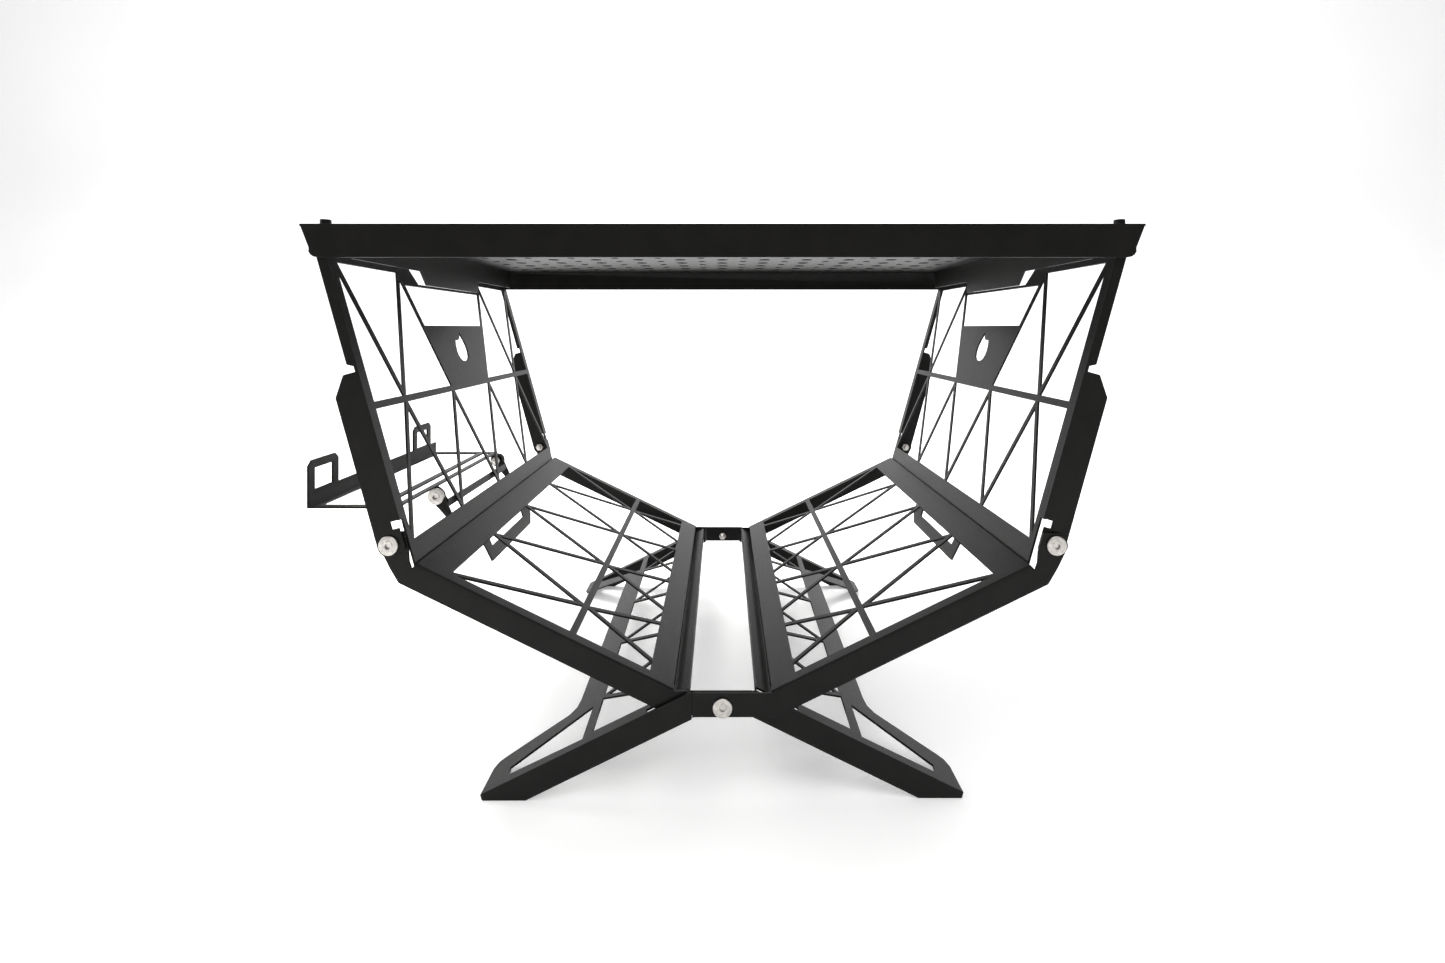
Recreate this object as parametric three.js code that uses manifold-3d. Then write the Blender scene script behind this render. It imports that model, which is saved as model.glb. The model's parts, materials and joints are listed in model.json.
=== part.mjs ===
// Firewood log rack: two crossed sheet-steel halves, two truss wings, a lift-off shelf and a side tray.
// Millimetres, +Z up, +X to the right and +Y towards the back as seen from the front.
// The origin is on the floor, straight below the middle of the centre bolts' axis.
import * as THREE from 'three';
import { mergeVertices } from 'three/addons/utils/BufferGeometryUtils.js';
import Module from 'manifold-3d';

const wasm = await Module();
wasm.setup();

// ---------- driving dimensions ----------
const SHEET = 2; // steel sheet thickness
const PANEL_DEPTH = 460; // over both side plates of one panel
const STAGGER = 3; // step between overlapping plates: one sheet and a 1 mm washer gap
const HALF = PANEL_DEPTH / 2;
const OUTER_PLANE = HALF + STAGGER / 2; // outermost plate face

const SLOPE = THREE.MathUtils.degToRad(26); // legs and cradle panels from horizontal
const LEAN = THREE.MathUtils.degToRad(15.64); // wings from vertical
const CENTRE_PIVOT = [0, 83];
const CORNER_PIVOT = [297, 227.4];
const BRIDGE_TOP = 95.7;
const BRIDGE_BOTTOM = 74.3;
const SEAM_X = -27; // weld between a leg's side plate and the bridge
const FLANGE = 22.5; // depth of the side plates under a sloping face

const CRADLE_INNER = [44, 97.5]; // top of the cradle face at the channel
const CRADLE_LENGTH = 256.5;
const CRADLE_MID = 103;
const CRADLE_INNER_RIM = 24.4;
const CRADLE_OUTER_RIM = 29.8;
const CRADLE_LIP_BOTTOM = 90.6;
const LUG_INNER_SIDE = [[286, 239], [281.2, 222], [280.6, 212], [278.5, 205.5]]; // beside the wing

const LEG_INNER = [-30.7, BRIDGE_TOP]; // top of the leg face at the channel
const LEG_LENGTH = 206;
const LEG_ARCH = 79; // foot end to the arched edge
const LEG_ARCH_RIM = 29;
const LEG_INNER_RIM = 20;
const LEG_SIDE_RIM = 14;
const LEG_LIP_BOTTOM = 84;

const WING_FOOT = [276.4, 210.4]; // inner face of the wing at its lower edge
const WING_SKIRT = 6; // the face reaches this far below its foot
const WING_LENGTH = 289;
const WING_MID = 145.8;
const WING_BOTTOM_RIM = 18.9;
const WING_TOP_RIM = 8;
const WING_CORNER = { height: 41, setBack: 5.4 }; // narrower beside the cradle's lugs
const WING_NOTCH = { low: 270.5, front: -83.5, frontLow: -69.5, rear: 83.5, rim: 3 };
const WING_PLATE_TOP = 505;
const BADGE_TOP = 221.7;
const STOP_LOOP = { end: -57, strip: 15, side: 14, front: -90, rear: 72 };

const SIDE_RIM = 12;
const BAYS = 4;
const MID_BAR = 7;
const TRUSS_BAR = 5;
const LIP_HALF_WIDTH = 212;

const SHELF_TOP = 513.5;
const SHELF_HALF_WIDTH = 375;
const SHELF_HALF_DEPTH = 234.5;
const SHELF_FLANGE_BOTTOM = 483.2;
const SHELF_SIDE_FLANGE_X = 343;
const SHELF_SIDE_FLANGE_BOTTOM = 485;
const SHELF_TAB_BOTTOM = 470;
const SHELF_SCREW = [360, 221];
const SHELF_SCREW_HEAD = 5.5;
const EAR = { left: 351, right: 369, reach: 20 };

const TRAY_PIVOT = [299.5, 245];
const TRAY_FLOOR = 254;
const TRAY = { inner: 300, outer: 384, front: -211, rear: 44 };
const TRAY_LONG_BAR = [316.5, 323.5];
const TRAY_LIP = 15;
const TRAY_HOOK_TOP = 298;
const TRAY_HOOK_LENGTH = 45;
const TRAY_REAR_HOOK = -16; // where the rear hook starts
const TRAY_HEEL = { inner: 288, bottom: 233, top: 241 };
const HINGE_GAP = 0.6;
const TRAY_HINGES = [-134.6, 39.4]; // foremost plate of each hinge

const BOLT_RADIUS = 3;
const BOLT_HEAD_RADIUS = 8.7;
const BOLT_HEAD = 2.4;
const BORE_RADIUS = 3.35;
const LUG_RADIUS = 10.8;
const NUT_RADIUS = 5.7;
const NUT_LENGTH = 5;
const GAP = 0.3;

// ---------- materials ----------
function makeMaterial(color, roughness, metalness) {
  return new THREE.MeshStandardMaterial({ color, roughness, metalness });
}
const powderCoat = () => makeMaterial(0x1c1c1d, 0.62, 0.25);
const stainless = () => makeMaterial(0xc8c5bf, 0.3, 0.95);
const nylon = () => makeMaterial(0x2a2a2a, 0.7, 0);
const rubber = () => makeMaterial(0x151515, 0.85, 0);

// ---------- solids ----------
function toSolid(geometry) {
  const bare = geometry.clone();
  bare.deleteAttribute('normal');
  bare.deleteAttribute('uv');
  const merged = mergeVertices(bare, 1e-4);
  const vertProperties = new Float32Array(merged.attributes.position.array);
  const triVerts = new Uint32Array(merged.index.array);
  return new wasm.Manifold(new wasm.Mesh({ numProp: 3, vertProperties, triVerts }));
}

function toGeometry(solid) {
  const mesh = solid.getMesh();
  const geometry = new THREE.BufferGeometry();
  geometry.setAttribute('position', new THREE.BufferAttribute(new Float32Array(mesh.vertProperties), 3));
  geometry.setIndex(new THREE.BufferAttribute(new Uint32Array(mesh.triVerts), 1));
  geometry.computeVertexNormals();
  return geometry;
}

function join(geometries) {
  return toGeometry(geometries.map(toSolid).reduce((sum, solid) => sum.add(solid)));
}

function cut(geometry, tools) {
  return toGeometry(tools.map(toSolid).reduce((rest, tool) => rest.subtract(tool), toSolid(geometry)));
}

// The same piece on the other side of the rack: x changes sign and each triangle turns over.
function mirrored(geometry) {
  const copy = geometry.clone();
  copy.scale(-1, 1, 1);
  const index = copy.index.array;
  for (let i = 0; i < index.length; i += 3) {
    [index[i], index[i + 1]] = [index[i + 1], index[i]];
  }
  copy.computeVertexNormals();
  return copy;
}

// ---------- outlines ----------
function outline(points, holes = []) {
  const shape = new THREE.Shape(points.map(([x, y]) => new THREE.Vector2(x, y)));
  shape.holes = holes.map((hole) => new THREE.Path(hole.map(([x, y]) => new THREE.Vector2(x, y))));
  return shape;
}

function arc(centre, radius, from, to, steps) {
  const points = [];
  for (let i = 0; i <= steps; i += 1) {
    const angle = THREE.MathUtils.degToRad(from + ((to - from) * i) / steps);
    points.push([centre[0] + radius * Math.cos(angle), centre[1] + radius * Math.sin(angle)]);
  }
  return points;
}

const bore = (centre, radius = BORE_RADIUS) => arc(centre, radius, 360, 22.5, 15);

function extrude(shape, depth) {
  return new THREE.ExtrudeGeometry(shape, { depth, bevelEnabled: false, curveSegments: 8 });
}

// A flat sheet on z = 0 with windows cut through it.
function piercedSheet(points, windows) {
  const sheet = extrude(outline(points), SHEET);
  if (windows.length === 0) {
    return sheet;
  }
  return cut(sheet, windows.map((window) => extrude(outline(window), 3 * SHEET).translate(0, 0, -SHEET)));
}

// A sheet in a sloping plane: outline x runs along the slope, outline y runs along world Y,
// and the visible face passes through the foot point.
function slopingSheet(points, windows, foot, angle) {
  const along = new THREE.Vector3(Math.cos(angle), 0, Math.sin(angle));
  const across = new THREE.Vector3(0, 1, 0);
  const normal = new THREE.Vector3(-Math.sin(angle), 0, Math.cos(angle));
  const geometry = piercedSheet(points, windows);
  geometry.translate(0, 0, -SHEET);
  geometry.applyMatrix4(new THREE.Matrix4().makeBasis(along, across, normal));
  return geometry.translate(foot[0], 0, foot[1]);
}

// An upright plate with its outline in X and Z, between y and y + thickness.
function uprightPlate(shape, y, thickness = SHEET) {
  const geometry = extrude(shape, thickness);
  geometry.rotateX(Math.PI / 2);
  return geometry.translate(0, y + thickness, 0);
}

function box([x0, x1], [y0, y1], [z0, z1]) {
  const geometry = new THREE.BoxGeometry(x1 - x0, y1 - y0, z1 - z0);
  return geometry.translate((x0 + x1) / 2, (y0 + y1) / 2, (z0 + z1) / 2);
}

function sidePlates(shape) {
  return [uprightPlate(shape, -HALF), uprightPlate(shape, HALF - SHEET)];
}

// The point at a distance along a sloping face, and at a depth under it.
function onSlope(foot, angle, along, under) {
  const x = foot[0] + along * Math.cos(angle) + under * Math.sin(angle);
  const z = foot[1] + along * Math.sin(angle) - under * Math.cos(angle);
  return [x, z];
}

// ---------- truss windows ----------
// Moves each edge of a convex polygon inwards by its own distance. Edge i runs from point i.
function inset(points, distances) {
  const turn = THREE.ShapeUtils.area(points.map(([x, y]) => new THREE.Vector2(x, y))) > 0 ? 1 : -1;
  const edges = points.map((point, i) => {
    const next = points[(i + 1) % points.length];
    const length = Math.hypot(next[0] - point[0], next[1] - point[1]);
    const direction = [(next[0] - point[0]) / length, (next[1] - point[1]) / length];
    const inwards = [-direction[1] * turn, direction[0] * turn];
    const base = [point[0] + inwards[0] * distances[i], point[1] + inwards[1] * distances[i]];
    return { base, direction };
  });
  return edges.map((edge, i) => {
    const before = edges[(i + edges.length - 1) % edges.length];
    const gapX = edge.base[0] - before.base[0];
    const gapY = edge.base[1] - before.base[1];
    const cross = before.direction[0] * edge.direction[1] - before.direction[1] * edge.direction[0];
    const step = (gapX * edge.direction[1] - gapY * edge.direction[0]) / cross;
    return [before.base[0] + before.direction[0] * step, before.base[1] + before.direction[1] * step];
  });
}

// Keeps the part of a convex polygon on the wanted side of a line of constant x.
function clipAlong(points, limit, keepAbove) {
  const inside = ([x]) => (keepAbove ? x >= limit : x <= limit);
  const kept = [];
  points.forEach((point, i) => {
    const next = points[(i + 1) % points.length];
    if (inside(point)) {
      kept.push(point);
    }
    if (inside(point) !== inside(next)) {
      const t = (limit - point[0]) / (next[0] - point[0]);
      kept.push([limit, point[1] + t * (next[1] - point[1])]);
    }
  });
  return kept;
}

const railNode = (k, rim) => -HALF + rim + (k * (PANEL_DEPTH - 2 * rim)) / BAYS;

// Triangles of a zigzag between a rail (whole nodes) and a bar (half-way nodes).
// rail and bar are the edges of the open zone; nodes is where the bars meet, at or behind the rail.
function zigzag({ rail, bar, nodes = rail, rim = SIDE_RIM, skip = [] }) {
  const keepAbove = rail < bar;
  const half = TRUSS_BAR / 2;
  const windows = [];
  const add = (name, corners, distances) => {
    if (!skip.includes(name)) {
      windows.push(clipAlong(inset(corners, distances), rail, keepAbove));
    }
  };
  for (let k = 0; k < BAYS; k += 1) {
    const here = [nodes, railNode(k, rim)];
    const next = [nodes, railNode(k + 1, rim)];
    const middle = [bar, railNode(k + 0.5, rim)];
    add(`rail${k}`, [here, next, middle], [0, half, half]);
    if (k < BAYS - 1) {
      add(`bar${k}`, [middle, next, [bar, railNode(k + 1.5, rim)]], [half, half, 0]);
    }
  }
  const first = railNode(0, rim);
  const last = railNode(BAYS, rim);
  add('first', [[nodes, first], [bar, railNode(0.5, rim)], [bar, first]], [half, 0, 0]);
  add('last', [[nodes, last], [bar, last], [bar, railNode(BAYS - 0.5, rim)]], [0, 0, half]);
  return windows;
}

// ---------- cradle panel with its bridge plates ----------
function cradlePanel() {
  const outerEdge = CRADLE_LENGTH - CRADLE_OUTER_RIM;
  const reach = CRADLE_MID - CRADLE_INNER_RIM;
  const windows = [
    ...zigzag({ rail: outerEdge, bar: CRADLE_MID + MID_BAR / 2 }),
    ...zigzag({ rail: CRADLE_INNER_RIM, bar: CRADLE_MID - MID_BAR / 2, nodes: CRADLE_MID - 1.45 * reach }),
  ];
  const face = [[0, -HALF], [CRADLE_LENGTH, -HALF], [CRADLE_LENGTH, HALF], [0, HALF]];
  const sheet = slopingSheet(face, windows, CRADLE_INNER, SLOPE);

  const at = (along, under) => onSlope(CRADLE_INNER, SLOPE, along, under);
  const flangeStart = at((BRIDGE_BOTTOM - at(0, FLANGE)[1]) / Math.sin(SLOPE), FLANGE);
  const plate = outline(
    [
      [SEAM_X, BRIDGE_TOP],
      [SEAM_X, BRIDGE_BOTTOM - 0.8],
      [SEAM_X + 1.6, BRIDGE_BOTTOM],
      flangeStart,
      at(CRADLE_LENGTH + 6.5, FLANGE),
      at(CRADLE_LENGTH + 20, FLANGE - 9),
      ...arc(CORNER_PIVOT, LUG_RADIUS, -12, 100, 8),
      ...LUG_INNER_SIDE,
      at(CRADLE_LENGTH, 0),
      at(0, 0),
      [CRADLE_INNER[0] - 1, BRIDGE_TOP],
    ],
    [bore(CENTRE_PIVOT), bore(CORNER_PIVOT)],
  );
  const [x, top] = CRADLE_INNER;
  const lip = box([x, x + SHEET], [-LIP_HALF_WIDTH, LIP_HALF_WIDTH], [CRADLE_LIP_BOTTOM, top - 0.5]);
  return join([sheet, ...sidePlates(plate), lip]);
}

// ---------- leg panel ----------
function legPanel() {
  const foot = onSlope(LEG_INNER, SLOPE, -LEG_LENGTH, 0);
  const inner = LEG_LENGTH - LEG_INNER_RIM;
  const archInner = LEG_ARCH + LEG_ARCH_RIM;
  const windows = zigzag({ rail: inner, bar: archInner, nodes: LEG_LENGTH + 6, rim: LEG_SIDE_RIM });
  const footWindow = [[24, HALF - 11], [22.3, HALF - 21], [archInner - 9.5, HALF - 58], [archInner - 9.5, HALF - 10]];
  windows.push(footWindow);
  windows.push(footWindow.map(([along, across]) => [along, -across]));

  // One end's half of the outline, from the arch round the foot to the notch beside the bridge.
  const end = [
    [LEG_ARCH, HALF - 84],
    [LEG_ARCH - 1.6, HALF - 72],
    [LEG_ARCH - 8, HALF - 64.5],
    [9, HALF - 43],
    [3.4, HALF - 40],
    [0, HALF - 33],
    [0, HALF],
    [LEG_LENGTH - 42, HALF],
    [LEG_LENGTH - 42, HALF - 7],
    [LEG_LENGTH, HALF - 7],
  ];
  const otherEnd = end.map(([along, across]) => [along, -across]).reverse();
  const sheet = slopingSheet([...end, ...otherEnd], windows, foot, SLOPE);

  const under = onSlope(foot, SLOPE, 0, FLANGE);
  const plate = outline([
    [foot[0] + 1.5, 0],
    [under[0] - under[1] / Math.tan(SLOPE), 0],
    [SEAM_X - GAP, under[1] + (SEAM_X - GAP - under[0]) * Math.tan(SLOPE)],
    [SEAM_X - GAP, BRIDGE_TOP],
    LEG_INNER,
    foot,
  ]);
  const [x, top] = LEG_INNER;
  const lip = box([x - 1, x + 1], [-LIP_HALF_WIDTH, LIP_HALF_WIDTH], [LEG_LIP_BOTTOM, top - 1.5]);
  return join([sheet, ...sidePlates(plate), lip]);
}

// ---------- wing panel ----------
// A small flame for the badge, as two curves that meet at the tip.
function flame(centre) {
  const shape = new THREE.Shape();
  shape.moveTo(-17, 0);
  shape.bezierCurveTo(-17, 19, 2, 20, 21, 3);
  shape.bezierCurveTo(12, 2, 8, -4, 12, -12);
  shape.bezierCurveTo(-4, -20, -17, -15, -17, 0);
  return shape.getPoints(6).slice(0, -1).map((p) => [centre[0] + p.x, centre[1] + p.y]);
}

function wingPanel() {
  const topEdge = WING_LENGTH - WING_TOP_RIM;
  const barLow = WING_MID - MID_BAR / 2;
  const barHigh = WING_MID + MID_BAR / 2;
  const slope = (railNode(1.5, SIDE_RIM) - railNode(1, SIDE_RIM)) / (topEdge - barHigh);
  const reach = (height) => -railNode(1, SIDE_RIM) - slope * (topEdge - height) - TRUSS_BAR / 2;
  // The middle of the upper rim dips under the shelf's tab, so its window stops at the dip.
  const openTop = WING_NOTCH.low - WING_NOTCH.rim;
  const openAboveBadge = [
    [BADGE_TOP, -reach(BADGE_TOP)],
    [openTop, -reach(openTop)],
    [openTop, reach(openTop)],
    [BADGE_TOP, reach(BADGE_TOP)],
  ];
  const windows = [
    ...zigzag({ rail: WING_BOTTOM_RIM, bar: barLow }),
    ...zigzag({ rail: topEdge, bar: barHigh, skip: ['bar1', 'rail1', 'rail2'] }),
    openAboveBadge,
    flame([(BADGE_TOP + barHigh) / 2 + 7, 0]),
  ];
  const corner = WING_CORNER.height;
  const narrowHalf = HALF - WING_CORNER.setBack;
  const face = [
    [-WING_SKIRT, -narrowHalf], [-WING_SKIRT, narrowHalf], [corner, narrowHalf], [corner, HALF],
    [WING_LENGTH, HALF], [WING_LENGTH, WING_NOTCH.rear], [WING_NOTCH.low, WING_NOTCH.rear],
    [WING_NOTCH.low, WING_NOTCH.frontLow], [WING_LENGTH, WING_NOTCH.front], [WING_LENGTH, -HALF],
    [corner, -HALF], [corner, -narrowHalf],
  ];
  const angle = Math.PI / 2 - LEAN;
  const sheet = slopingSheet(face, windows, WING_FOOT, angle);

  const at = (along, out) => onSlope(WING_FOOT, angle, along, out);
  const topAlong = (out) => (WING_PLATE_TOP - at(0, out)[1]) / Math.sin(angle);
  const narrow = 8.4;
  const wide = 26;
  const plate = outline(
    [
      at(topAlong(0), 0),
      at(41.5, 0),
      at(41.5, 9),
      at(34.5, 9),
      at(34.5, 2.7),
      at(14, 2.7),
      ...arc(CORNER_PIVOT, LUG_RADIUS, 215, 345, 9),
      at(40, wide),
      at(161, wide),
      at(179, 14),
      at(179, 2.8),
      at(184, 2.8),
      at(187, narrow),
      at(topAlong(narrow), narrow),
    ],
    [bore(CORNER_PIVOT)],
  );
  const ears = [-1, 1].map((side) => {
    const near = side * (HALF - EAR.reach);
    const far = side * (HALF - 0.5);
    return box([EAR.left, EAR.right], [Math.min(near, far), Math.max(near, far)], [WING_PLATE_TOP - SHEET, WING_PLATE_TOP]);
  });
  return join([sheet, ...sidePlates(plate), ...ears]);
}

// The loop that goes on below a wing's face, behind the cradle's edge, and stops the wing outwards.
function stopLoop() {
  const { end, strip, side, front, rear } = STOP_LOOP;
  const top = -WING_SKIRT - GAP;
  const face = [
    [top, front], [top - 14, front], [end, front + side], [end, rear - 10], [end + 11, rear], [top, rear],
  ];
  const slot = [
    [end + strip, front + side + 10], [end + strip, rear - 2 * side],
    [top - 6, rear - 2 * side], [top - 6, front + side],
  ];
  return slopingSheet(face, [slot], WING_FOOT, Math.PI / 2 - LEAN);
}

// ---------- shelf ----------
function shelfTray() {
  const w = SHELF_HALF_WIDTH;
  const d = SHELF_HALF_DEPTH;
  const x = SHELF_SIDE_FLANGE_X;
  const ear = LIP_HALF_WIDTH + 2;
  const quarter = [[w, -d], [w, -ear], [x, -ear], [x, ear], [w, ear], [w, d]];
  const top = [...quarter, ...quarter.map(([a, b]) => [-a, -b])];
  const screwHoles = [-1, 1].flatMap((sx) => [-1, 1].map((sy) => bore([sx * SHELF_SCREW[0], sy * SHELF_SCREW[1]], 2.8)));
  const deck = extrude(outline(top, screwHoles), SHEET).translate(0, 0, SHELF_TOP - SHEET);

  const bottom = SHELF_FLANGE_BOTTOM;
  const corner = arc([w - 15.5, bottom + 8.5], 8, -90, 0, 4).reverse();
  const right = [[w, SHELF_TOP], [w - 8.3, bottom + 9], ...corner.slice(1)];
  const flange = outline([...right, ...right.map(([a, b]) => [-a, b]).reverse()]);
  const front = uprightPlate(flange, -d);
  const rear = uprightPlate(flange, d - SHEET);

  return join([deck, front, rear]);
}

// A side flange with its tab, under the deck's edge from x inwards.
function shelfSide(x) {
  const top = SHELF_TOP - SHEET - GAP;
  const bottom = SHELF_SIDE_FLANGE_BOTTOM;
  const side = outline([
    [-LIP_HALF_WIDTH, top], [-LIP_HALF_WIDTH, bottom],
    [-82, bottom], [-68, SHELF_TAB_BOTTOM], [82, SHELF_TAB_BOTTOM], [82, bottom],
    [LIP_HALF_WIDTH, bottom], [LIP_HALF_WIDTH, top],
  ]);
  return extrude(side, SHEET).rotateX(Math.PI / 2).rotateZ(Math.PI / 2).translate(x, 0, 0);
}

// ---------- side tray and its brackets, drawn on the right and mirrored to the left ----------
function sideTray() {
  const { inner, outer, front, rear } = TRAY;
  const endBar = 8;
  const lengthwise = [[inner + 6, TRAY_LONG_BAR[0]], [TRAY_LONG_BAR[1], outer - 8.5]];
  const windows = lengthwise.map(([a, b]) => [
    [a, front + endBar], [b, front + endBar], [b, rear - endBar], [a, rear - endBar],
  ]);
  const floorSheet = piercedSheet([[inner, front], [outer, front], [outer, rear], [inner, rear]], windows);
  floorSheet.translate(0, 0, TRAY_FLOOR);

  const lipTop = TRAY_FLOOR + TRAY_LIP;
  const hooks = [front, TRAY_REAR_HOOK];
  const hookOutline = (start) => {
    const end = start + TRAY_HOOK_LENGTH;
    return [
      [end, lipTop], [end, TRAY_HOOK_TOP - 5], [end - 5, TRAY_HOOK_TOP],
      [start + 5, TRAY_HOOK_TOP], [start, TRAY_HOOK_TOP - 5],
    ];
  };
  const lipShape = outline(
    [
      [front, TRAY_FLOOR], [rear, TRAY_FLOOR], [rear, lipTop],
      ...hookOutline(TRAY_REAR_HOOK), [TRAY_REAR_HOOK, lipTop], ...hookOutline(front),
    ],
    hooks.map((start) => [
      [start + 9, lipTop + 1], [start + 9, TRAY_HOOK_TOP - 8],
      [start + TRAY_HOOK_LENGTH - 9, TRAY_HOOK_TOP - 8], [start + TRAY_HOOK_LENGTH - 9, lipTop + 1],
    ]),
  );
  const lip = extrude(lipShape, SHEET).rotateX(Math.PI / 2).rotateZ(Math.PI / 2);
  lip.translate(outer - SHEET, 0, 0);

  // Between the hinges an upright heel bar stands close to the wing's outer face and carries the tray.
  const lugShape = outline(
    [
      [TRAY_PIVOT[0] + 8, TRAY_FLOOR + 1],
      [TRAY_PIVOT[0] + 1, TRAY_FLOOR + 1],
      [TRAY_PIVOT[0] - 3, TRAY_FLOOR - 1],
      ...arc(TRAY_PIVOT, 8, 150, 180, 2),
      [TRAY_HEEL.inner + 1, TRAY_HEEL.top],
      [TRAY_HEEL.inner + 1, TRAY_HEEL.bottom + 1],
      ...arc(TRAY_PIVOT, 8, 250, 360, 6),
    ],
    [bore(TRAY_PIVOT)],
  );
  const [frontHinge, rearHinge] = TRAY_HINGES;
  const frontLug = frontHinge + SHEET + HINGE_GAP;
  const lugs = [uprightPlate(lugShape, frontLug), uprightPlate(lugShape, rearHinge)];
  const heel = box(
    [TRAY_HEEL.inner, TRAY_HEEL.inner + SHEET],
    [frontLug, rearHinge + SHEET],
    [TRAY_HEEL.bottom, TRAY_HEEL.top],
  );
  return join([floorSheet, lip, heel, ...lugs]);
}

// y is the bracket plate's front face; its foot goes on from there towards the nearer end of the rack.
function trayBracket(y, outwards) {
  const angle = Math.PI / 2 - LEAN;
  const at = (along, out) => onSlope(WING_FOOT, angle, along, out);
  const off = SHEET + GAP;
  const ear = outline(
    [at(2, off), ...arc(TRAY_PIVOT, 7.5, -60, 175, 10), at(17, off)],
    [bore(TRAY_PIVOT)],
  );
  const footStart = outwards < 0 ? y - 14 : y;
  const footEnd = footStart + 16;
  const foot = slopingSheet([[2, footStart], [17, footStart], [17, footEnd], [2, footEnd]], [], at(0, off), angle);
  return join([uprightPlate(ear, y), foot]);
}

// ---------- fasteners ----------
function hexPrism(radius, from, to) {
  return extrude(outline(arc([0, 0], radius, 0, 300, 5)), to - from).translate(0, 0, from);
}

// The head's outer face is at z = 0 and the shank points to -z.
function makeBolt(length, shankRadius = BOLT_RADIUS, headRadius = BOLT_HEAD_RADIUS, head = BOLT_HEAD) {
  const profile = [
    [0, -head - length], [shankRadius, -head - length], [shankRadius, -head],
    [headRadius, -head], [headRadius, -0.6], [headRadius - 0.8, 0], [0, 0],
  ];
  const points = profile.map(([x, y]) => new THREE.Vector2(x, y));
  const body = new THREE.LatheGeometry(points, 16).rotateX(Math.PI / 2);
  const socket = hexPrism(headRadius * 0.28, -head * 0.75, 1);
  return cut(body, [socket]);
}

function makeRing(inside, outside, thickness) {
  const ring = outline(arc([0, 0], outside, 0, 337.5, 15), [bore([0, 0], inside)]);
  return extrude(ring, thickness);
}

function makeNut() {
  return cut(hexPrism(NUT_RADIUS, 0, NUT_LENGTH), [extrude(outline(bore([0, 0])), NUT_LENGTH + 2).translate(0, 0, -1)]);
}

// ---------- assembly ----------
const rack = new THREE.Group();

function addMesh(parent, name, geometry, material) {
  const mesh = new THREE.Mesh(geometry, material);
  mesh.name = name;
  parent.add(mesh);
  return mesh;
}

function addShifted(parent, y) {
  const group = new THREE.Group();
  group.position.y = y;
  parent.add(group);
  return group;
}

const ahead = addShifted(rack, -STAGGER / 2);
const behind = addShifted(rack, STAGGER / 2);
const cradle = cradlePanel();
const leg = legPanel();
const wing = wingPanel();
addMesh(ahead, 'cradle_right', cradle, powderCoat());
addMesh(ahead, 'leg_left', leg, powderCoat());
addMesh(behind, 'cradle_left', mirrored(cradle), powderCoat());
addMesh(behind, 'leg_right', mirrored(leg), powderCoat());
addMesh(behind, 'wing_right', wing, powderCoat());
addMesh(ahead, 'wing_left', mirrored(wing), powderCoat());
const loop = stopLoop();
addMesh(behind, 'stop_loop_right', loop, powderCoat());
addMesh(ahead, 'stop_loop_left', mirrored(loop), powderCoat());
addMesh(rack, 'shelf', shelfTray(), powderCoat());
addMesh(rack, 'shelf_side_left', shelfSide(-SHELF_SIDE_FLANGE_X), powderCoat());
addMesh(rack, 'shelf_side_right', shelfSide(SHELF_SIDE_FLANGE_X - SHEET), powderCoat());
addMesh(rack, 'side_tray', mirrored(sideTray()), powderCoat());

// Bolt, washer and nut of one pivot through the two overlapping plates at one end of the rack.
function addPivot(name, [x, z], end, sideName) {
  const stack = new THREE.Group();
  stack.position.set(x, end * (OUTER_PLANE + GAP), z);
  stack.rotation.x = (-end * Math.PI) / 2;
  rack.add(stack);
  const suffix = sideName ? `_${sideName}` : '';
  const where = end < 0 ? 'front' : 'rear';
  const plates = 2 * SHEET + 1 + GAP;
  const bolt = addMesh(stack, `${name}_bolt_${where}${suffix}`, makeBolt(plates + NUT_LENGTH + 2.5), stainless());
  bolt.position.z = BOLT_HEAD;
  const washer = addMesh(stack, `${name}_washer_${where}${suffix}`, makeRing(BORE_RADIUS, 7, 0.4), nylon());
  washer.position.z = -GAP - SHEET - 0.7;
  const nut = addMesh(stack, `${name}_nut_${where}${suffix}`, makeNut(), stainless());
  nut.position.z = -plates - GAP - NUT_LENGTH;
}

for (const end of [-1, 1]) {
  addPivot('centre', CENTRE_PIVOT, end, '');
  addPivot('corner', CORNER_PIVOT, end, 'right');
  addPivot('corner', [-CORNER_PIVOT[0], CORNER_PIVOT[1]], end, 'left');
}

['front', 'rear'].forEach((where, i) => {
  const y = TRAY_HINGES[i];
  const bracketFace = i === 0 ? y : y + SHEET + HINGE_GAP;
  const bracket = trayBracket(bracketFace, i === 0 ? -1 : 1);
  addMesh(rack, `tray_bracket_${where}`, mirrored(bracket), powderCoat());
  const stack = new THREE.Group();
  const end = i === 0 ? -1 : 1;
  const headFace = i === 0 ? y - GAP : bracketFace + SHEET + GAP;
  stack.position.set(-TRAY_PIVOT[0], headFace, TRAY_PIVOT[1]);
  stack.rotation.x = (-end * Math.PI) / 2;
  rack.add(stack);
  const plates = 2 * SHEET + HINGE_GAP + GAP;
  addMesh(stack, `tray_bolt_${where}`, makeBolt(plates + NUT_LENGTH + 1.5), stainless()).position.z = BOLT_HEAD;
  addMesh(stack, `tray_nut_${where}`, makeNut(), stainless()).position.z = -plates - GAP - NUT_LENGTH;
});

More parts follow.
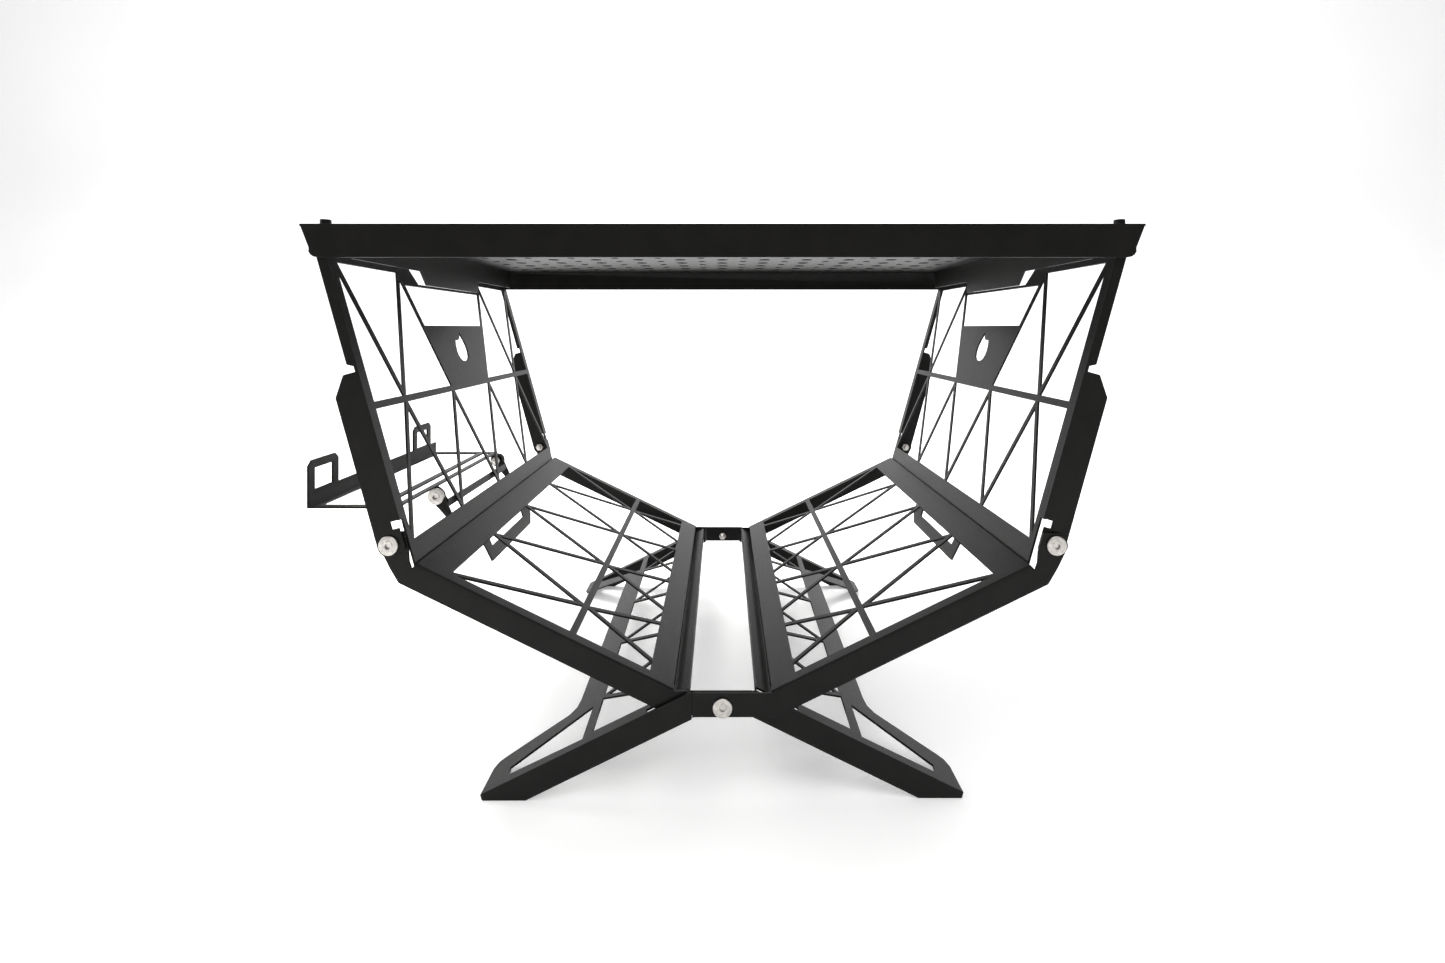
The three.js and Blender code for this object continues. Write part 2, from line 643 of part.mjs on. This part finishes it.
for (const sx of [-1, 1]) {
  for (const sy of [-1, 1]) {
    const place = `${sy < 0 ? 'front' : 'rear'}_${sx < 0 ? 'left' : 'right'}`;
    const shape = makeBolt(7.2, 2.5, 4.7, SHELF_SCREW_HEAD);
    const screw = addMesh(rack, `shelf_screw_${place}`, shape, powderCoat());
    screw.position.set(sx * SHELF_SCREW[0], sy * SHELF_SCREW[1], SHELF_TOP + GAP + SHELF_SCREW_HEAD);
    const bufferTop = SHELF_TOP - SHEET - GAP;
    const bufferLow = WING_PLATE_TOP + GAP;
    const buffer = addMesh(rack, `shelf_buffer_${place}`, makeRing(2.8, 6, bufferTop - bufferLow), rubber());
    buffer.position.set(sx * SHELF_SCREW[0], sy * SHELF_SCREW[1], bufferLow);
  }
}

export default rack;
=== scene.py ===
"""Looks of the folding firewood rack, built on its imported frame. Everything is in metres."""

import json
import math

import bmesh
import bpy
from mathutils import Matrix, Vector


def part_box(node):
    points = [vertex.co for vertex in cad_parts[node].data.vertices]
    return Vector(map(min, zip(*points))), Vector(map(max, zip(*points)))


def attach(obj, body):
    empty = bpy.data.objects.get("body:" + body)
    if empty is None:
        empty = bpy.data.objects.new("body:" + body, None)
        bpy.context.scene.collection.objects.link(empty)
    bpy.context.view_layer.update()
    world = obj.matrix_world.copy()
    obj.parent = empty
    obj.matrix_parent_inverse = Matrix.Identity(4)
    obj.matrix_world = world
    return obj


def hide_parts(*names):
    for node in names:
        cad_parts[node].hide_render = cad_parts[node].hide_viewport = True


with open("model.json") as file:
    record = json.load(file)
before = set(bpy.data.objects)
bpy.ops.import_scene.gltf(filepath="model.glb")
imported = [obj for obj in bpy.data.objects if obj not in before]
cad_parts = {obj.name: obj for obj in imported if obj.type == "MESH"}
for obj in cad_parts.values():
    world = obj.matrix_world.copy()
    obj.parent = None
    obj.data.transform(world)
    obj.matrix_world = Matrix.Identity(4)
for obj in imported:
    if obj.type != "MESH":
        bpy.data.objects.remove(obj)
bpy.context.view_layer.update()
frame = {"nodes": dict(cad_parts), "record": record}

MM = 0.001

# Rounding of the sheet's edges
BEND_RADIUS = 1.5 * MM
CUT_RADIUS = 0.25 * MM
BEND_REACH = 3.2 * MM  # a face that reaches this far from an edge isn't a cut edge's narrow side
SHARP = math.radians(25)
TURNED_SHARP = math.radians(32)
BEND_SEGMENTS = 3
MERGE_DISTANCE = 0.002 * MM

# Pivot bolts: wide flat heads with a hexagon socket
BOLT_HEAD = 2.4 * MM
BOLT_HEAD_RADIUS = 8.68 * MM
BOLT_RADIUS = 3.0 * MM
BOLT_SOCKET = 2.75 * MM
BOLT_PLAIN = 4 * MM  # shank without a thread, under the head
THREAD_PITCH = 1 * MM
THREAD_ROOT = 2.62 * MM
THREAD_CREST = 2.98 * MM
BOLT_SIDES = 60

# Shelf screws: tall round caps
CAP_HEAD = 5.5 * MM
CAP_RADIUS = 4.68 * MM
CAP_RIM = 0.7 * MM
CAP_SOCKET = 2.3 * MM
CAP_SHANK = 2.5 * MM
CAP_SIDES = 48

# Shelf perforations and side flanges
HOLE_PITCH_X = 56 * MM
HOLE_PITCH_Y = 40 * MM
LARGE_HOLE = 7.5 * MM
SMALL_HOLE = 5 * MM
HOLE_MARGIN = 20 * MM
SHELF_FIELD_X = 325 * MM  # half the width of the perforated field
HOLE_SIDES = 20
HOLE_TOOL_LENGTH = 12 * MM
FLANGE_TOP_EDGE = 0.1 * MM  # corners this close to a flange's top belong to its top edge

# Weld beads at the bridge
WELD_X = 27.15 * MM
WELD_BOTTOM = 75 * MM
WELD_TOP = 95 * MM
WELD_RINGS = 22
WELD_SIDES = 10
WELD_HALF_WIDTH = 1.7 * MM
WELD_SINK = 2.05 * MM  # from the plate's outer face to the bead's axis
WELD_HALF_DEPTH = 0.55 * MM
WELD_SWELL = 0.12
WELD_SWELL_STEP = 2.1  # radians from one ring to the next
WELD_END_SIZE = 0.35
WELD_END_GROWTH = 0.33  # a ring, until the bead has its full size

# Studio
WORLD_STRENGTH = 0.4
FLOOR_HALF_WIDTH = 7.0
FLOOR_FRONT = -7.0
CURVE_START = 1.6
CURVE_RADIUS = 2.6
CURVE_STEPS = 12
BACKDROP_TOP = 6.5

# Camera: level, from close by, with the horizon above the middle of the frame
SENSOR = 36.0  # millimetres
FOCAL_LENGTH = 15.4464  # millimetres
HORIZON_RISE = 0.106228  # above the frame's middle, as a share of its width
CAMERA_DISTANCE = 0.552  # from the front plates
CAMERA_HEIGHT = 0.421
NEAREST = 0.01

PANELS = ["cradle_left", "cradle_right", "leg_left", "leg_right", "wing_left", "wing_right",
          "stop_loop_left", "stop_loop_right"]
TRAY_PARTS = ["side_tray", "tray_bracket_front", "tray_bracket_rear"]


def body_of(node):
    bodies = frame["record"]["behaviour"]["bodies"]
    return next(body for body, members in bodies.items() if node in members)


# ---------- materials ----------
class Nodes:
    """A material's node tree, with short ways to add a node and a link."""

    def __init__(self, name):
        self.material = bpy.data.materials.new(name)
        self.material.use_nodes = True
        self.tree = self.material.node_tree
        self.shader = self.tree.nodes["Principled BSDF"]
        self.place = self.add("ShaderNodeTexCoord").outputs["Object"]

    def add(self, kind, **settings):
        node = self.tree.nodes.new(kind)
        for key, value in settings.items():
            if key in node.inputs:
                node.inputs[key].default_value = value
            else:
                setattr(node, key, value)
        return node

    def link(self, source, target):
        self.tree.links.new(source, target)

    def noise(self, scale, detail=2.0, stretch=None):
        node = self.add("ShaderNodeTexNoise", Scale=scale, Detail=detail)
        where = self.place
        if stretch:
            mapping = self.add("ShaderNodeMapping", Scale=stretch)
            self.link(where, mapping.inputs["Vector"])
            where = mapping.outputs["Vector"]
        self.link(where, node.inputs["Vector"])
        return node.outputs["Fac"]

    def spread(self, value, low, high):
        """Maps the middle part of a noise to low..high."""
        node = self.add("ShaderNodeMapRange")
        for key, number in (("From Min", 0.3), ("From Max", 0.7), ("To Min", low), ("To Max", high)):
            node.inputs[key].default_value = number
        self.link(value, node.inputs["Value"])
        return node.outputs["Result"]

    def ramp(self, value, dark, light):
        node = self.add("ShaderNodeValToRGB")
        ends = node.color_ramp.elements
        ends[0].position = 0.3
        ends[1].position = 0.7
        ends[0].color = (*dark, 1)
        ends[1].color = (*light, 1)
        self.link(value, node.inputs["Fac"])
        return node.outputs["Color"]

    def bump(self, height, distance, strength=1.0):
        node = self.add("ShaderNodeBump", Strength=strength, Distance=distance)
        self.link(height, node.inputs["Height"])
        self.link(node.outputs["Normal"], self.shader.inputs["Normal"])


def powder_coat():
    """Fine-textured black powder coat with a warm tone and slightly uneven gloss."""
    coat = Nodes("powder_coat")
    coat.link(coat.ramp(coat.noise(38, 4), (0.0042, 0.004, 0.0037), (0.0068, 0.0064, 0.0059)),
              coat.shader.inputs["Base Color"])
    coat.link(coat.spread(coat.noise(900, 3), 0.34, 0.48), coat.shader.inputs["Roughness"])
    coat.shader.inputs["Specular IOR Level"].default_value = 0.15
    coat.bump(coat.noise(2600, 2), 0.00004, 0.55)
    return coat.material


def stainless():
    """Turned stainless steel: fine rings round the bolt's own axis."""
    steel = Nodes("stainless")
    rings = steel.add("ShaderNodeTexWave", wave_type="RINGS", rings_direction="Y", Scale=900.0)
    steel.link(steel.place, rings.inputs["Vector"])
    steel.link(steel.ramp(steel.noise(260, 3), (0.42, 0.4, 0.38), (0.6, 0.58, 0.55)),
               steel.shader.inputs["Base Color"])
    steel.link(steel.spread(steel.noise(700, 2), 0.26, 0.4), steel.shader.inputs["Roughness"])
    steel.shader.inputs["Metallic"].default_value = 1.0
    steel.bump(rings.outputs["Fac"], 0.00002, 0.5)
    return steel.material


def black_plastic():
    plastic = Nodes("nylon")
    plastic.link(plastic.ramp(plastic.noise(120, 3), (0.014, 0.014, 0.015), (0.024, 0.024, 0.025)),
                 plastic.shader.inputs["Base Color"])
    plastic.link(plastic.spread(plastic.noise(800), 0.45, 0.6), plastic.shader.inputs["Roughness"])
    plastic.bump(plastic.noise(1800), 0.00003, 0.4)
    return plastic.material


def black_rubber():
    rubber = Nodes("rubber")
    rubber.link(rubber.ramp(rubber.noise(200, 4), (0.008, 0.008, 0.008), (0.018, 0.017, 0.016)),
                rubber.shader.inputs["Base Color"])
    rubber.link(rubber.spread(rubber.noise(600), 0.7, 0.9), rubber.shader.inputs["Roughness"])
    rubber.bump(rubber.noise(1500, 3), 0.00006, 0.6)
    return rubber.material


def weld_steel():
    """A dressed weld bead under the powder coat, with its ripples."""
    weld = Nodes("coated_weld")
    weld.link(weld.ramp(weld.noise(90, 4), (0.006, 0.0058, 0.0055), (0.011, 0.0105, 0.01)),
              weld.shader.inputs["Base Color"])
    weld.link(weld.spread(weld.noise(800, 3), 0.36, 0.5), weld.shader.inputs["Roughness"])
    weld.bump(weld.noise(420, 2, (0.4, 0.4, 1.6)), 0.0002, 0.7)
    return weld.material


COAT = powder_coat()
STEEL = stainless()
NYLON = black_plastic()
RUBBER = black_rubber()
WELD = weld_steel()


# ---------- building ----------
def linked(name, data):
    """A new object in the scene."""
    thing = bpy.data.objects.new(name, data)
    bpy.context.scene.collection.objects.link(thing)
    return thing


def finished(shape, name):
    """A bmesh as a mesh of its own."""
    mesh = bpy.data.meshes.new(name)
    shape.to_mesh(mesh)
    shape.free()
    return mesh


def new_piece(name, mesh, material, body, place=None):
    piece = linked(name, mesh)
    if place is not None:
        piece.matrix_world = place
    mesh.materials.clear()
    mesh.materials.append(material)
    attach(piece, body)
    return piece


def apply_modifiers(piece):
    bpy.context.view_layer.update()
    evaluated = piece.evaluated_get(bpy.context.evaluated_depsgraph_get())
    piece.data = bpy.data.meshes.new_from_object(evaluated)
    piece.modifiers.clear()


def merged(mesh):
    """A mesh as one bmesh with its shared corners merged."""
    shape = bmesh.new()
    shape.from_mesh(mesh)
    bmesh.ops.remove_doubles(shape, verts=shape.verts, dist=MERGE_DISTANCE)
    return shape


def reach(face, edge):
    """How far a face goes from the line of one of its edges."""
    start = edge.verts[0].co
    direction = (edge.verts[1].co - start).normalized()
    return max((corner.co - start).cross(direction).length for corner in face.verts)


def mark_edges(shape):
    """Weights for the bevel: 1 on a bend's outer edge, less on the edges that the laser cut.
    Inner corners stay sharp."""
    weights = shape.edges.layers.float.new("bevel_weight_edge")
    for edge in shape.edges:
        if len(edge.link_faces) != 2 or edge.calc_face_angle(0) < SHARP:
            continue
        if not edge.is_convex:
            edge.smooth = False
            continue
        bend = min(reach(face, edge) for face in edge.link_faces) > BEND_REACH
        edge[weights] = 1.0 if bend else CUT_RADIUS / BEND_RADIUS


def round_edges(piece):
    """Gives a sheet-metal piece round bends and broken cut edges."""
    shape = merged(piece.data)
    mark_edges(shape)
    shape.to_mesh(piece.data)
    shape.free()
    piece.data.polygons.foreach_set("use_smooth", [True] * len(piece.data.polygons))
    bevel = piece.modifiers.new("bends", "BEVEL")
    bevel.limit_method = "WEIGHT"
    bevel.width = BEND_RADIUS
    bevel.segments = BEND_SEGMENTS
    bevel.use_clamp_overlap = False
    flat = piece.modifiers.new("flat_faces", "WEIGHTED_NORMAL")
    flat.mode = "FACE_AREA"
    flat.weight = 100
    flat.keep_sharp = True
    apply_modifiers(piece)


def softened(node, name, material):
    """A copy of a node with its edges rounded. It replaces the node."""
    piece = new_piece(name, frame["nodes"][node].data.copy(), material, body_of(node))
    round_edges(piece)
    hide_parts(node)
    return piece


def hexagon(angle):
    """Radius of a hexagon with its corners at 1, at one angle."""
    sixth = math.pi / 3
    return math.cos(sixth / 2) / math.cos(angle % sixth - sixth / 2)


def turned(name, profile, around):
    """A solid round +Y from (radius, height, is_hexagonal) steps. The first and last radius are 0."""
    shape = bmesh.new()
    loops = []
    for radius, height, hexed in profile[1:-1]:
        loop = []
        for i in range(around):
            angle = 2 * math.pi * i / around
            wide = radius * (hexagon(angle) if hexed else 1)
            loop.append(shape.verts.new((wide * math.cos(angle), height, wide * math.sin(angle))))
        loops.append(loop)
    for low, high in zip(loops, loops[1:]):
        for i in range(around):
            j = (i + 1) % around
            shape.faces.new((low[i], low[j], high[j], high[i]))
    for end, loop in ((profile[0], loops[0]), (profile[-1], loops[-1])):
        middle = shape.verts.new((0, end[1], 0))
        for i in range(around):
            shape.faces.new((middle, loop[(i + 1) % around], loop[i]))
    bmesh.ops.recalc_face_normals(shape, faces=shape.faces)
    for face in shape.faces:
        face.smooth = True
    for edge in shape.edges:
        edge.smooth = edge.calc_face_angle(0) < TURNED_SHARP
    return finished(shape, name)


def place_turned(node, mesh, material, towards):
    """Puts a turned piece, whose outer end is at height 0, where a CAD fastener's outer end is."""
    low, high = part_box(node)
    middle = (low + high) / 2
    outer = {"front": Vector((middle.x, low.y, middle.z)),
             "rear": Vector((middle.x, high.y, middle.z)),
             "up": Vector((middle.x, middle.y, high.z))}[towards]
    turn = {"front": Matrix.Rotation(math.pi, 4, "Z"),
            "rear": Matrix.Identity(4),
            "up": Matrix.Rotation(math.pi / 2, 4, "X")}[towards]
    place = Matrix.Translation(outer) @ turn
    piece = new_piece(f"{node}_turned", mesh, material, body_of(node), place)
    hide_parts(node)


# ---------- the pieces ----------
def flat_head_bolt(length):
    """Profile of a wide furniture bolt: hexagon socket, raised ring, flat rim and threaded shank."""
    face = -0.5 * MM  # of the flat rim, below the raised ring
    profile = [
        (0, -1.9 * MM, False),
        (BOLT_SOCKET, -1.8 * MM, True),
        (BOLT_SOCKET, -0.2 * MM, True),
        (3.0 * MM, 0, False),
        (4.0 * MM, 0, False),
        (4.25 * MM, -0.18 * MM, False),
        (4.4 * MM, face, False),
        (7.7 * MM, face, False),
        (8.3 * MM, -0.62 * MM, False),
        (8.62 * MM, -0.95 * MM, False),
        (BOLT_HEAD_RADIUS, -1.3 * MM, False),
        (BOLT_HEAD_RADIUS, -BOLT_HEAD + 0.15 * MM, False),
        (8.5 * MM, -BOLT_HEAD, False),
        (BOLT_RADIUS, -BOLT_HEAD, False),
    ]
    thread = -BOLT_HEAD - BOLT_PLAIN
    profile.append((BOLT_RADIUS, thread, False))
    while thread > -length + 1.2 * THREAD_PITCH:
        profile.append((THREAD_ROOT, thread - THREAD_PITCH / 2, False))
        profile.append((THREAD_CREST, thread - THREAD_PITCH, False))
        thread -= THREAD_PITCH
    profile.append((2.3 * MM, -length, False))
    profile.append((0, -length, False))
    return profile


def cap_screw(length):
    """Profile of a tall round cap: hexagon socket, rounded rim, straight side and plain shank."""
    profile = [
        (0, -2.6 * MM, False),
        (CAP_SOCKET, -2.5 * MM, True),
        (CAP_SOCKET, -0.2 * MM, True),
        (2.6 * MM, 0, False),
    ]
    for step in range(7):
        angle = math.radians(15 * step)
        wide = CAP_RADIUS - CAP_RIM + CAP_RIM * math.sin(angle)
        profile.append((wide, -CAP_RIM * (1 - math.cos(angle)), False))
    profile += [
        (CAP_RADIUS, -CAP_HEAD + 0.2 * MM, False),
        (CAP_RADIUS - 0.2 * MM, -CAP_HEAD, False),
        (CAP_SHANK, -CAP_HEAD, False),
        (CAP_SHANK, -length, False),
        (0, -length, False),
    ]
    return profile


def fasteners():
    for node in frame["nodes"]:
        low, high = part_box(node)
        towards = "rear" if "rear" in node else "front"
        if "_bolt_" in node:
            mesh = turned(f"{node}_mesh", flat_head_bolt(high.y - low.y), BOLT_SIDES)
            place_turned(node, mesh, STEEL, towards)
        elif "shelf_screw" in node:
            mesh = turned(f"{node}_mesh", cap_screw(high.z - low.z), CAP_SIDES)
            place_turned(node, mesh, COAT, "up")
        elif "_nut_" in node:
            softened(node, f"{node}_chamfered", STEEL)
        elif "_washer_" in node:
            softened(node, f"{node}_soft", NYLON)
        elif "shelf_buffer" in node:
            softened(node, f"{node}_soft", RUBBER)


def hole_places():
    """Centres and radii of the shelf's perforations: rows of large holes, with small ones between."""
    low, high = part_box("shelf")
    half_x = SHELF_FIELD_X
    half_y = high.y - HOLE_MARGIN
    columns = int(half_x / HOLE_PITCH_X)
    rows = int(half_y / HOLE_PITCH_Y)
    for radius, shift in ((LARGE_HOLE, 0.0), (SMALL_HOLE, 0.5)):
        for column in range(-columns - 1, columns + 1):
            for row in range(-rows - 1, rows + 1):
                x = (column + shift) * HOLE_PITCH_X
                y = (row + shift) * HOLE_PITCH_Y
                if abs(x) < half_x and abs(y) < half_y:
                    yield x, y, radius


def hole_tools(deck_top):
    """One object with a round cutter for every perforation."""
    shape = bmesh.new()
    for x, y, radius in hole_places():
        bmesh.ops.create_cone(shape, cap_ends=True, segments=HOLE_SIDES, radius1=radius, radius2=radius,
                              depth=HOLE_TOOL_LENGTH, matrix=Matrix.Translation((x, y, deck_top)))
    return linked("hole_tools", finished(shape, "hole_tools"))


def side_flange(node, deck_top):
    """A side flange whose top edge goes on up into the deck, as the folded sheet does."""
    mesh = frame["nodes"][node].data.copy()
    shape = merged(mesh)
    top = max(corner.co.z for corner in shape.verts)
    for corner in shape.verts:
        if corner.co.z > top - FLANGE_TOP_EDGE:
            corner.co.z = deck_top
    shape.to_mesh(mesh)
    shape.free()
    return linked(f"{node}_folded", mesh)


def perforated_shelf():
    node = "shelf"
    sides = ["shelf_side_left", "shelf_side_right"]
    deck_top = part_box(node)[1].z
    mesh = frame["nodes"][node].data.copy()
    shape = merged(mesh)
    shape.to_mesh(mesh)
    shape.free()
    piece = new_piece("shelf_perforated", mesh, COAT, body_of(node))
    tools = [(side_flange(side, deck_top), "UNION") for side in sides]
    tools.append((hole_tools(deck_top), "DIFFERENCE"))
    for tool, operation in tools:
        step = piece.modifiers.new(tool.name, "BOOLEAN")
        step.operation = operation
        step.object = tool
        step.solver = "EXACT"
    apply_modifiers(piece)
    for tool, _ in tools:
        bpy.data.objects.remove(tool)
    round_edges(piece)
    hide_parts(node, *sides)


def weld_bead(name, leg, front):
    """A flattened bead down the seam between a leg's side plate and the bridge."""
    leg_low, leg_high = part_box(leg)
    side = 1 if leg == "leg_right" else -1
    seam = side * WELD_X
    plate = leg_low.y if front else leg_high.y
    inside = 1 if front else -1
    shape = bmesh.new()
    loops = []
    for i in range(WELD_RINGS + 1):
        swell = 1 + WELD_SWELL * math.sin(WELD_SWELL_STEP * i)
        size = swell * min(1.0, WELD_END_SIZE + WELD_END_GROWTH * min(i, WELD_RINGS - i))
        z = WELD_BOTTOM + (WELD_TOP - WELD_BOTTOM) * i / WELD_RINGS
        loop = []
        for j in range(WELD_SIDES):
            angle = 2 * math.pi * j / WELD_SIDES
            x = seam + WELD_HALF_WIDTH * size * math.cos(angle)
            y = plate + inside * (WELD_SINK + WELD_HALF_DEPTH * size * math.sin(angle))
            loop.append(shape.verts.new((x, y, z)))
        loops.append(loop)
    for a, b in zip(loops, loops[1:]):
        for j in range(WELD_SIDES):
            k = (j + 1) % WELD_SIDES
            shape.faces.new((a[j], a[k], b[k], b[j]))
    shape.faces.new(loops[0])
    shape.faces.new(list(reversed(loops[-1])))
    bmesh.ops.recalc_face_normals(shape, faces=shape.faces)
    for face in shape.faces:
        face.smooth = True
    new_piece(name, finished(shape, name), WELD, body_of(leg))


for node in PANELS + TRAY_PARTS:
    softened(node, f"{node}_coated", COAT)
perforated_shelf()
fasteners()
for front in (True, False):
    end = "front" if front else "rear"
    weld_bead(f"weld_left_{end}", "leg_left", front)
    weld_bead(f"weld_right_{end}", "leg_right", front)


# ---------- studio ----------
def studio_floor():
    """A pale floor that curves up into a backdrop far behind the rack."""
    shape = bmesh.new()
    profile = [(FLOOR_FRONT, 0.0)]
    for step in range(CURVE_STEPS + 1):
        angle = math.radians(90 / CURVE_STEPS * step)
        profile.append((CURVE_START + CURVE_RADIUS * math.sin(angle), CURVE_RADIUS * (1 - math.cos(angle))))
    profile.append((CURVE_START + CURVE_RADIUS, BACKDROP_TOP))
    sides = (-FLOOR_HALF_WIDTH, FLOOR_HALF_WIDTH)
    rows = [[shape.verts.new((x, y, z)) for x in sides] for y, z in profile]
    for a, b in zip(rows, rows[1:]):
        face = shape.faces.new((a[0], a[1], b[1], b[0]))
        face.smooth = True
    mesh = finished(shape, "studio_floor")
    floor = linked("studio_floor", mesh)
    paper = Nodes("paper")
    paper.link(paper.ramp(paper.noise(1.2, 2), (0.86, 0.86, 0.865), (0.9, 0.9, 0.9)),
               paper.shader.inputs["Base Color"])
    paper.shader.inputs["Roughness"].default_value = 0.9
    paper.shader.inputs["Specular IOR Level"].default_value = 0.1
    paper.shader.inputs["Emission Color"].default_value = (1, 1, 1, 1)
    paper.shader.inputs["Emission Strength"].default_value = 0.3
    mesh.materials.append(paper.material)


def soft_light(name, place, target, size, power, tint=(1, 1, 1)):
    light = bpy.data.lights.new(name, "AREA")
    light.shape = "RECTANGLE"
    light.size, light.size_y = size
    light.energy = power
    light.color = tint
    lamp = linked(name, light)
    lamp.location = place
    lamp.rotation_euler = (Vector(target) - Vector(place)).to_track_quat("-Z", "Y").to_euler()


def studio():
    studio_floor()
    world = bpy.data.worlds.new("studio")
    bpy.context.scene.world = world
    world.use_nodes = True
    world.node_tree.nodes["Background"].inputs["Color"].default_value = (1, 1, 1, 1)
    world.node_tree.nodes["Background"].inputs["Strength"].default_value = WORLD_STRENGTH
    middle = (0, 0, 0.25)
    soft_light("key_overhead", place=(-0.7, 0.6, 2.2), target=middle, size=(1.2, 1.0), power=66,
               tint=(1, 0.985, 0.96))
    soft_light("rear_wash", place=(0, 0.7, 2.9), target=(0, 3.4, 1.6), size=(5.5, 1.5), power=170)
    soft_light("side_left", place=(-2.1, -0.3, 0.9), target=middle, size=(0.9, 1.4), power=14,
               tint=(1, 0.98, 0.95))
    soft_light("floor_front", place=(0.4, -1.4, 2.2), target=(0, -0.5, 0), size=(2.0, 1.2), power=18)
    bpy.context.scene.view_settings.view_transform = "Standard"


def camera():
    front_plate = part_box("leg_left")[0].y
    data = bpy.data.cameras.new("camera")
    data.sensor_width = SENSOR
    data.lens = FOCAL_LENGTH
    data.shift_y = -HORIZON_RISE
    data.clip_start = NEAREST
    eye = linked("camera", data)
    eye.location = (0, front_plate - CAMERA_DISTANCE, CAMERA_HEIGHT)
    eye.rotation_euler = (math.pi / 2, 0, 0)
    bpy.context.scene.camera = eye


studio()
camera()
